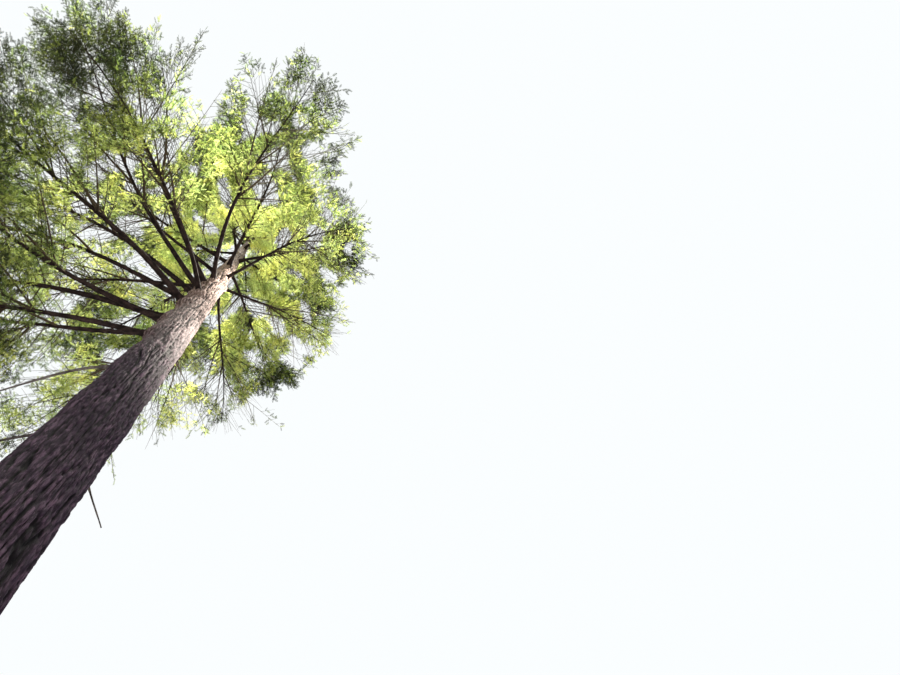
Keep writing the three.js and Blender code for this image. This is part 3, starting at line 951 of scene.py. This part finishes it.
def sprays_of(shoots):
    """The sprays along each shoot, with one at its tip, and the shoot that each is on."""
    counts = np.maximum(1, (shoots.length / SPRAY_SPACING).astype(int)) + 1
    shoot = np.repeat(np.arange(len(counts)), counts)
    number = np.arange(len(shoot)) - np.repeat(np.cumsum(counts) - counts, counts)
    last = number == counts[shoot] - 1
    share = np.where(last, TIP_SPRAY, (number + FIRST_SPRAY) / (counts[shoot] - 1))
    side = np.where(last, 0.0, np.where(number % 2, 1.0, -1.0))
    along, across = shoots.along[shoot], shoots.across[shoot]
    normal = np.cross(along, across)
    spread = np.radians(SPRAY_SPREAD + rng.uniform(-SPRAY_SPREAD_CHANCE, SPRAY_SPREAD_CHANCE, len(shoot)))
    forward, out = np.cos(spread)[:, None], (side * np.sin(spread))[:, None]
    lift = rng.uniform(-SPRAY_LIFT, SPRAY_LIFT, (len(shoot), 1))
    roll = rng.uniform(-SPRAY_ROLL, SPRAY_ROLL, (len(shoot), 1))
    return shoot, Places(
        root=shoots.root[shoot] + along * (shoots.length[shoot] * share)[:, None],
        along=units(along * forward + across * out + normal * lift),
        across=units(across * forward - along * out + normal * roll),
        length=SPRAY_LENGTH * rng.uniform(*SPRAY_LENGTHS, len(shoot)),
    )


shoot_of, sprays = sprays_of(shoots)
low = np.array(on_bough)[shoot_of]
sprays.length[~low] *= HIGH_SPRAY_GAIN
print(len(sprays.root), "sprays before any have dropped")

# %% [markdown]
# Low boughs have dropped most of the sprays near the trunk, so the sun comes through there, and every
# crown has thin places. Seen from the foot of the tree, gaps in one mass behind the next add up to
# openings towards the sky. The last pattern makes those, so it goes by the direction from the
# viewpoint and not by the place. A spray stays where its own chance beats the thinning.

# %% Thin places and openings
INNER_RADIUS, CROWN_RADIUS = 3.0, 6.0
INNER_THINNING, OUTER_THINNING, HIGH_THINNING = 0.84, 0.0, 0.52  # the share of sprays that have dropped
LOWEST_LEAVES, FULL_THINNING = 14.0, 19.0  # heights between which the thinning sets in
LEAST_THINNING = 0.2
GAPS, GAP_SIZE = 0.6, 0.6
HOLES, HOLE_SIZE = 1.0, 0.024  # openings towards the sky, as wide as the photo shows them
HOLE_HEIGHTS, HOLE_EDGE = (15.0, 18.5), (0.1, 0.45)  # where they set in, and their soft edge
NOISE_GAIN = 1.6


def ramp(value, low, high):
    """From 0 at `low` to 1 at `high`."""
    return np.clip((value - low) / (high - low), 0, 1)


def drift(points, size):
    """A number from about -1 to 1 for each point, which changes slowly from place to place."""
    return np.array([NOISE_GAIN * noise.noise(point) for point in points / size])


out = ramp(distance_from_trunk(sprays.root), INNER_RADIUS, CROWN_RADIUS)
risen = np.maximum(ramp(sprays.root[:, 2], LOWEST_LEAVES, FULL_THINNING), LEAST_THINNING)
thinned = np.where(low, lerp(INNER_THINNING * risen, OUTER_THINNING, out**2), HIGH_THINNING)
thinned = thinned + GAPS * drift(sprays.root, GAP_SIZE)
seen_from_below = units(sprays.root - np.array(EYE))
open_part = (1 - out**2) * ramp(sprays.root[:, 2], *HOLE_HEIGHTS)
thinned = thinned + HOLES * open_part * ramp(drift(seen_from_below, HOLE_SIZE), *HOLE_EDGE)
tips = sprays.tips()
inside = (tips > np.array(solid_box[0])).all(1) & (tips < np.array(solid_box[1])).all(1)
kept = inside & (rng.random(len(tips)) > thinned)
sprays = sprays.chosen(kept)
shoots = shoots.chosen(np.unique(shoot_of[kept]))
print(len(shoots.root), "side shoots,", len(sprays.root), "sprays")

# %% [markdown]
# A spray is a feather of flat needles in two ranks. Four pairs of slim triangles and one at the tip
# are enough at this distance, and the gaps between them let the sky through as real needles do. The
# halves fold down a little from the middle, so that they catch the light differently.

# %% The spray of needles
NEEDLE_PAIRS = 4
NEEDLE_REACH = 0.28  # of the spray's length
NEEDLE_BASE, NEEDLE_SLANT = 0.74, 0.5  # of the step from one needle to the next
NEEDLE_FOLD = 0.3
RIB_END = 0.9
FEATHER_START, FEATHER_SPAN, FEATHER_POWER = 0.22, 0.68, 0.7  # its outline is a part of a sine wave
TIP_NEEDLE = [(0.88, -0.05, 0), (1.06, 0, -0.02), (0.88, 0.05, 0)]
SHOOT_TIP = 0.35  # of the shoot's own radius
CLOSE = 1e-4


def spray_template():
    """A flat feather of length 1 along +X, made from one needle."""
    bm = bmesh.new()
    step = RIB_END / NEEDLE_PAIRS
    for i in range(NEEDLE_PAIRS):
        place = FEATHER_START + FEATHER_SPAN * (i + 0.5) / NEEDLE_PAIRS
        reach = NEEDLE_REACH * math.sin(math.pi * place) ** FEATHER_POWER
        start, end = i * step, (i + NEEDLE_BASE) * step
        tip = end + NEEDLE_SLANT * step, reach, -NEEDLE_FOLD * reach
        bm.faces.new([bm.verts.new(corner) for corner in ((start, 0, 0), (end, 0, 0), tip)])
    bmesh.ops.mirror(bm, geom=bm.verts[:] + bm.edges[:] + bm.faces[:], axis="Y", merge_dist=CLOSE)
    bm.faces.new([bm.verts.new(corner) for corner in TIP_NEEDLE])
    bmesh.ops.remove_doubles(bm, verts=bm.verts, dist=CLOSE)
    return bm


def shoot_template():
    """A slim three-sided stick of length 1 along +X."""
    bm = bmesh.new()
    bmesh.ops.create_cone(bm, segments=3, radius1=1.0, radius2=SHOOT_TIP, depth=1.0)
    bmesh.ops.rotate(bm, verts=bm.verts, matrix=Matrix.Rotation(math.pi / 2, 3, "Y"))
    bmesh.ops.translate(bm, verts=bm.verts, vec=(0.5, 0.0, 0.0))
    return bm


print("spray of", len(spray_template().faces), "faces")

# %% [markdown]
# Seen from below, the needles near the top of the trunk shine yellow-green where the sun comes
# through them, and those at the ends of the low boughs are a dark olive in shade. The greens paint
# that light and shade in: every spray gets one plain colour out of five, from painted shade to painted
# sunlight, by how high it is and how near to the trunk. Slow noise gathers the greens into clumps, and
# a little chance mixes them.

# %% Dealing out the greens
# one green in five steps, from painted shade to painted sunlight
TONES = [
    ("shaded", (0.014, 0.020, 0.008)),
    ("deep", (0.047, 0.068, 0.021)),
    ("middle", (0.185, 0.255, 0.062)),
    ("light", (0.420, 0.530, 0.140)),
    ("sunlit", (0.660, 0.770, 0.250)),
]
TONE_SPREAD = 0.18
TOP_RADIUS, NARROWING = 1.8, (17.0, 36.0)  # the crown's radius at the top, and where it narrows
OUTER_POWER = 1.6
MIDDLE_STARTS, MIDDLE_ENDS, MIDDLE_LOSS = (13.0, 24.0), (28.0, 36.0), 0.7  # the best lit heights
MIDDLE_LIGHT, INNER_LIGHT, INNER_LOSS = 0.17, 1.12, 0.2
LOW_SHADE, LOW_SHADE_HEIGHTS = 0.3, (19.0, 14.0)
TOP_SHADE, TOP_SHADE_HEIGHTS = 0.4, (37.0, 39.0)
CLUMPS, CLUMP_SIZE, CLUMP_OFFSET = 0.25, 0.9, 50.0  # the offset keeps the clumps apart from the gaps

height = sprays.root[:, 2]
radius = lerp(CROWN_RADIUS, TOP_RADIUS, ramp(height, *NARROWING))
outer = ramp(distance_from_trunk(sprays.root), 0, radius) ** OUTER_POWER
middle = ramp(height, *MIDDLE_STARTS) * (1 - MIDDLE_LOSS * ramp(height, *MIDDLE_ENDS))
# painted light and shade: lighter near the trunk and at the best lit heights, darker far out, low down and
# at the very top
painted_light = MIDDLE_LIGHT * middle + INNER_LIGHT * (1 - outer) * (1 - INNER_LOSS + INNER_LOSS * middle)
painted_light -= LOW_SHADE * ramp(height, *LOW_SHADE_HEIGHTS) + TOP_SHADE * ramp(height, *TOP_SHADE_HEIGHTS)
painted_light += CLUMPS * drift(sprays.root + CLUMP_OFFSET, CLUMP_SIZE)
painted_light += rng.normal(0, TONE_SPREAD, len(height))
tone_of = np.clip((painted_light * len(TONES)).astype(int), 0, len(TONES) - 1)
print("sprays of each tone", np.bincount(tone_of, minlength=len(TONES)))

# %% [markdown]
# A twig is a tube of a few faces, bent along its line as the boughs are. The side shoots and the
# sprays are copies of their templates, and a piece takes no more copies than keep it a comfortable
# size.

# %% Twigs, shoots and needles
MOST_COPIES = 16000
TWIG_SIDES, TWIG_RINGS = 4, 4
TWIG_TIP_RADIUS = 0.002
SHOOT_RADIUS, SHOOT_GAIN = 0.003, 0.005  # the gain is for each metre of its length
EVEN_RELIEF = 0.62


def bent_tube(corners, twig):
    """The corners of a tube of radius 1 from z 0 to z 1, bent along a twig."""
    placed = []
    for x, y, t in corners:
        along = (twig.point(t + 0.01) - twig.point(t - 0.01)).normalized()
        side = side_of(along)
        radius = lerp(twig.radius, TWIG_TIP_RADIUS, t)
        placed.append(twig.point(t) + (side * x + along.cross(side) * y) * radius)
    return placed


def fine_wood(piece):
    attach(piece, "root")
    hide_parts(*mass_nodes)
    relief = piece.data.attributes.new("relief", "FLOAT", "POINT")
    relief.data.foreach_set("value", np.full(len(piece.data.vertices), EVEN_RELIEF, np.float32))
    print(piece.name, len(piece.data.polygons), "faces")


tube = ringed_cylinder(TWIG_SIDES, TWIG_RINGS)
tube_corners = [tuple(v.co) for v in tube.verts]
twig_wood = joined("twigs", tube, np.array([bent_tube(tube_corners, twig) for twig in twigs]))
stick = shoot_template()
shoot_wood = joined("side_shoots", stick, shoots.corners(stick, SHOOT_RADIUS + SHOOT_GAIN * shoots.length))
for piece in (twig_wood, shoot_wood):
    fine_wood(piece)

feather = spray_template()
needle_pieces = {}
for tone, (tone_name, _) in enumerate(TONES):
    chosen = np.flatnonzero(tone_of == tone)
    count = math.ceil(len(chosen) / MOST_COPIES)
    needle_pieces[tone_name] = []
    for i in range(count):
        part = sprays.chosen(chosen[i::count])
        piece = joined(f"needles_{tone_name}_{i + 1}", feather, part.corners(feather, part.length))
        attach(piece, "root")
        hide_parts(*mass_nodes)
        needle_pieces[tone_name].append(piece)
        print(piece.name, len(part.root), "copies,", len(piece.data.polygons), "faces")

# %% [markdown]
# A material is a small machine of nodes. These helpers each add one node, or a pair that belongs
# together, and give back its output, so the recipes that follow read from top to bottom. An effect
# that several materials share is a node group, with inputs that each material sets for itself.


# %% Helpers for the materials
def new_effect(name, inputs, outputs):
    """A node group, with what it is given and what it puts out. A plain number is a mask or a share."""
    effect = bpy.data.node_groups.new(name, "ShaderNodeTree")
    for key, value in inputs.items():
        kind = "NodeSocketFloat" if isinstance(value, float) else "NodeSocketColor"
        effect.interface.new_socket(name=key, in_out="INPUT", socket_type=kind).default_value = value
    for key in outputs:
        kind = "NodeSocketColor" if key == "Colour" else "NodeSocketFloat"
        effect.interface.new_socket(name=key, in_out="OUTPUT", socket_type=kind)
    given, put_out = effect.nodes.new("NodeGroupInput"), effect.nodes.new("NodeGroupOutput")
    return effect, given.outputs, put_out.inputs


def mix_colour(tree, factor, first, second, blend="MIX"):
    mix = tree.nodes.new("ShaderNodeMix")
    mix.data_type = "RGBA"
    mix.blend_type = blend
    for socket, value in ((mix.inputs[0], factor), (mix.inputs[6], first), (mix.inputs[7], second)):
        if isinstance(value, bpy.types.NodeSocket):
            tree.links.new(value, socket)
        else:
            socket.default_value = value
    return mix.outputs[2]


def multiplied(tree, first, second):
    product = tree.nodes.new("ShaderNodeMath")
    product.operation = "MULTIPLY"
    tree.links.new(first, product.inputs[0])
    tree.links.new(second, product.inputs[1])
    return product.outputs[0]


def noise_node(tree, place, scale, detail, roughness):
    node = tree.nodes.new("ShaderNodeTexNoise")
    for key, value in (("Scale", scale), ("Detail", detail), ("Roughness", roughness)):
        node.inputs[key].default_value = value
    tree.links.new(place, node.inputs["Vector"])
    return node.outputs["Fac"]


def stretched_place(tree, stretch):
    """Object coordinates, drawn out along the trunk."""
    coordinates = tree.nodes.new("ShaderNodeTexCoord")
    mapping = tree.nodes.new("ShaderNodeMapping")
    mapping.inputs["Scale"].default_value = (1.0, 1.0, 1.0 / stretch)
    tree.links.new(coordinates.outputs["Object"], mapping.inputs["Vector"])
    return mapping.outputs["Vector"]


print("helpers for effects, mixes, noise and places are ready")

# %% [markdown]
# All the bark shares one effect: a ridge colour and a furrow colour that follow the modelled relief,
# the dark furrow colour being painted shade in the hollows, grain and flakes that are stretched along
# the wood, and blotches where old bark has faded, which on the trunk's top are painted sun flecks as
# well. The trunk, the boughs, the dead limbs and the twigs each place it with values of their own.

# %% The bark effect
GRAIN_STRETCH, BLOTCH_STRETCH = 6.5, 3.0
GRAIN, FLAKES = (42.0, 6.0, 0.75), (30.0, 4.0, 0.6)  # scale, detail and roughness of the noise
BLOTCHES = 4.0, 4.0, 0.65
RELIEF_SHOWN, GRAIN_SHOWN, FLAKES_SHOWN = (0.36, 0.76), (0.42, 0.58), (0.46, 0.62)
BLOTCHES_SHOWN = 0.35, 0.6, 0.25, 1.0  # the last two are the least and the most fading
RIDGE_KEPT = 0.35  # the share of the ridge's colour that the grain leaves alone
ROUGHNESS_OF_GRAIN = 0.3, 0.7, 0.98, 0.8
BROWNS = {"Ridge": (0.2, 0.14, 0.12, 1), "Furrow": (0.03, 0.02, 0.02, 1), "Faded_and_sunlit": (0.4, 0.3, 0.26, 1)}

bark_effect, given, put_out = new_effect(
    "bark_effect", {**BROWNS, "Fading": 0.3}, ["Colour", "Roughness", "Height"]
)
modelled = bark_effect.nodes.new("ShaderNodeAttribute")
modelled.attribute_name = "relief"
place = stretched_place(bark_effect, GRAIN_STRETCH)
grain = noise_node(bark_effect, place, *GRAIN)
flakes = noise_node(bark_effect, place, *FLAKES)
blotches = noise_node(bark_effect, stretched_place(bark_effect, BLOTCH_STRETCH), *BLOTCHES)

depth = map_range(bark_effect, modelled.outputs["Fac"], *RELIEF_SHOWN)
grained = map_range(bark_effect, grain, *GRAIN_SHOWN)
ridge = mix_colour(bark_effect, grained, given["Furrow"], given["Ridge"])
ridge = mix_colour(bark_effect, RIDGE_KEPT, ridge, given["Ridge"])
flaked = map_range(bark_effect, flakes, *FLAKES_SHOWN)
# the pale patches: faded bark, and on the trunk's top painted sun flecks as well
patch = multiplied(bark_effect, flaked, map_range(bark_effect, blotches, *BLOTCHES_SHOWN))
fading = multiplied(bark_effect, patch, given["Fading"])
ridge = mix_colour(bark_effect, fading, ridge, given["Faded_and_sunlit"])
# painted shade: the furrow colour where the relief is low
colour = mix_colour(bark_effect, depth, given["Furrow"], ridge)
bark_effect.links.new(colour, put_out["Colour"])
bark_effect.links.new(map_range(bark_effect, grain, *ROUGHNESS_OF_GRAIN), put_out["Roughness"])
bark_effect.links.new(grain, put_out["Height"])
print("bark effect with", len(bark_effect.nodes), "nodes")

# %% [markdown]
# The trunk is a deep purplish brown near the ground, where it is damp and in shade: partly its own
# colour and partly painted shade, with the purple tint of deep shade. It bleaches to a pinkish tan
# towards the top, partly real bleaching and partly painted light, and its pale faded patches up there
# are painted sun flecks, so its colours change with height. The boughs are darker, partly their own
# colour and partly painted shade, as wood seen against the light from beneath, and dead limbs have
# lost their bark and turned grey.

# %% Bark materials
GRAIN_DEPTH = 0.006
DULL = 0.08

# for each kind: the pieces, the ridge, furrow and faded colours, and how much of it has faded
BARKS = {
    # trunk_bark: dark and purplish near the ground, partly its own colour and partly painted shade
    "trunk_bark": (trunk_pieces, (0.022, 0.0115, 0.023), (0.003, 0.002, 0.003), (0.104, 0.062, 0.095), 0.85),
    # bough_bark: dark, partly its own colour and partly painted shade, as wood seen from beneath
    "bough_bark": ([bough_wood], (0.022, 0.013, 0.012), (0.005, 0.003, 0.003), (0.06, 0.042, 0.036), 0.4),
    "dead_wood": ([dead_wood], (0.09, 0.075, 0.07), (0.02, 0.016, 0.015), (0.16, 0.145, 0.14), 0.5),
    "twig_bark": ([twig_wood], (0.07, 0.048, 0.03), (0.02, 0.014, 0.01), (0.1, 0.09, 0.045), 0.5),
    "green_shoots": ([shoot_wood], (0.055, 0.060, 0.022), (0.035, 0.036, 0.014), (0.08, 0.085, 0.03), 0.3),
}

# the trunk's colours higher up, paler partly from bleaching and partly as painted light, and the
# heights between which they change
BLEACHED_AND_LIT = {
    "Ridge": ((0.25, 0.16, 0.13), 12.5, 22.5),
    "Furrow": ((0.014, 0.008, 0.007), 11.0, 23.0),
    # the faded patches higher up are painted sun flecks as well
    "Faded_and_sunlit": ((0.66, 0.495, 0.42), 12.0, 22.5),
}


def bark_material(name, ridge, furrow, faded, fading):
    """The material, and its bark effect."""
    material, tree, shader = new_material(name)
    shader.inputs["Specular IOR Level"].default_value = DULL
    effect = tree.nodes.new("ShaderNodeGroup")
    effect.node_tree = bark_effect
    for key, value in (("Ridge", ridge), ("Furrow", furrow), ("Faded_and_sunlit", faded)):
        effect.inputs[key].default_value = (*value, 1.0)
    effect.inputs["Fading"].default_value = fading
    bump = tree.nodes.new("ShaderNodeBump")
    bump.inputs["Distance"].default_value = GRAIN_DEPTH
    tree.links.new(effect.outputs["Height"], bump.inputs["Height"])
    tree.links.new(bump.outputs["Normal"], shader.inputs["Normal"])
    tree.links.new(effect.outputs["Colour"], shader.inputs["Base Color"])
    tree.links.new(effect.outputs["Roughness"], shader.inputs["Roughness"])
    return material, effect


def bleach_and_light(tree, socket, high_colour, low, high):
    """Changes a colour from its own value at one height to another at the next."""
    share = map_range(tree, height_in(tree, "Object"), low, high)
    tree.links.new(mix_colour(tree, share, socket.default_value[:], (*high_colour, 1.0)), socket)


for name, (pieces, *values) in BARKS.items():
    material, effect = bark_material(name, *values)
    if name == "trunk_bark":
        for key, change in BLEACHED_AND_LIT.items():
            bleach_and_light(material.node_tree, effect.inputs[key], *change)
    for piece in pieces:
        piece.data.materials.append(material)
    print(name, "on", [piece.name for piece in pieces])

# %% [markdown]
# A needle is thin enough for light to come through it, so its material is less a glossy leaf than a
# translucent one. The five greens share one effect, which lets each colour wander a little over the
# crown, warmer in one place and deeper in the next.

# %% The needles' materials
TRANSLUCENCY = 0.7
WARMER, DEEPER = (1.25, 1.05, 0.8, 1), (0.72, 0.8, 0.85, 1)
SLOW, SPECKLE = (1.3, 2.0, 0.55), (9.0, 2.0, 0.55)  # scale, detail and roughness of the noise
SLOW_SHOWN, SPECKLE_SHOWN = (0.35, 0.65), (0.4, 0.7, 0, 0.6)
ROUGHNESS_OF_SPECKLE = 0.3, 0.7, 0.45, 0.7

leaf_effect, given, put_out = new_effect(
    "leaf_effect", {"Green": (0.1, 0.14, 0.04, 1)}, ["Colour", "Roughness"]
)
place = stretched_place(leaf_effect, 1.0)
slow = noise_node(leaf_effect, place, *SLOW)
speckle = noise_node(leaf_effect, place, *SPECKLE)
warmer = mix_colour(leaf_effect, 1.0, given["Green"], WARMER, "MULTIPLY")
deeper = mix_colour(leaf_effect, 1.0, given["Green"], DEEPER, "MULTIPLY")
wandering = mix_colour(leaf_effect, map_range(leaf_effect, slow, *SLOW_SHOWN), deeper, warmer)
speckled = map_range(leaf_effect, speckle, *SPECKLE_SHOWN)
colour = mix_colour(leaf_effect, speckled, wandering, given["Green"])
leaf_effect.links.new(colour, put_out["Colour"])
leaf_effect.links.new(map_range(leaf_effect, speckle, *ROUGHNESS_OF_SPECKLE), put_out["Roughness"])


def needle_material(name, green):
    material, tree, shader = new_material(name)
    effect = tree.nodes.new("ShaderNodeGroup")
    effect.node_tree = leaf_effect
    effect.inputs["Green"].default_value = (*green, 1.0)
    shining = tree.nodes.new("ShaderNodeBsdfTranslucent")
    mixed = tree.nodes.new("ShaderNodeMixShader")
    mixed.inputs["Fac"].default_value = TRANSLUCENCY
    tree.links.new(effect.outputs["Colour"], shader.inputs["Base Color"])
    tree.links.new(effect.outputs["Colour"], shining.inputs["Color"])
    tree.links.new(effect.outputs["Roughness"], shader.inputs["Roughness"])
    tree.links.new(shader.outputs["BSDF"], mixed.inputs[1])
    tree.links.new(shining.outputs["BSDF"], mixed.inputs[2])
    tree.links.new(mixed.outputs["Shader"], tree.nodes["Material Output"].inputs["Surface"])
    return material


for tone_name, green in TONES:
    material = needle_material(f"needles_{tone_name}", green)
    for piece in needle_pieces[tone_name]:
        piece.data.materials.append(material)
print("needle materials made")

# %% [markdown]
# The second sun stands for light that slips in under the crown from the side. It would wash the bark
# out, so the wood and the floor are left out of it. The narrow lamp is there for the wood
# alone, so it leaves out the floor and the needles.


# %% What the lamps leave out
def leave_out(lamp, pieces):
    """Keeps the lamp's light off some pieces."""
    unlit = bpy.data.collections.new(f"not_lit_by_{lamp.name}")
    for piece in pieces:
        unlit.objects.link(piece)
    for member in unlit.collection_objects:
        member.light_linking.link_state = "EXCLUDE"
    lamp.light_linking.receiver_collection = unlit
    print(lamp.name, "leaves out", len(pieces), "pieces")


leave_out(glow, [floor, *trunk_pieces, bough_wood, dead_wood])
leave_out(shaft, [floor, *sum(needle_pieces.values(), [])])

# %% [markdown]
# The box of the solids is printed once more at the end. The dressed tree has to fill the same
# box as its solids.

# %% Size
print("solids", [[round(c, 2) for c in p] for p in solid_box])
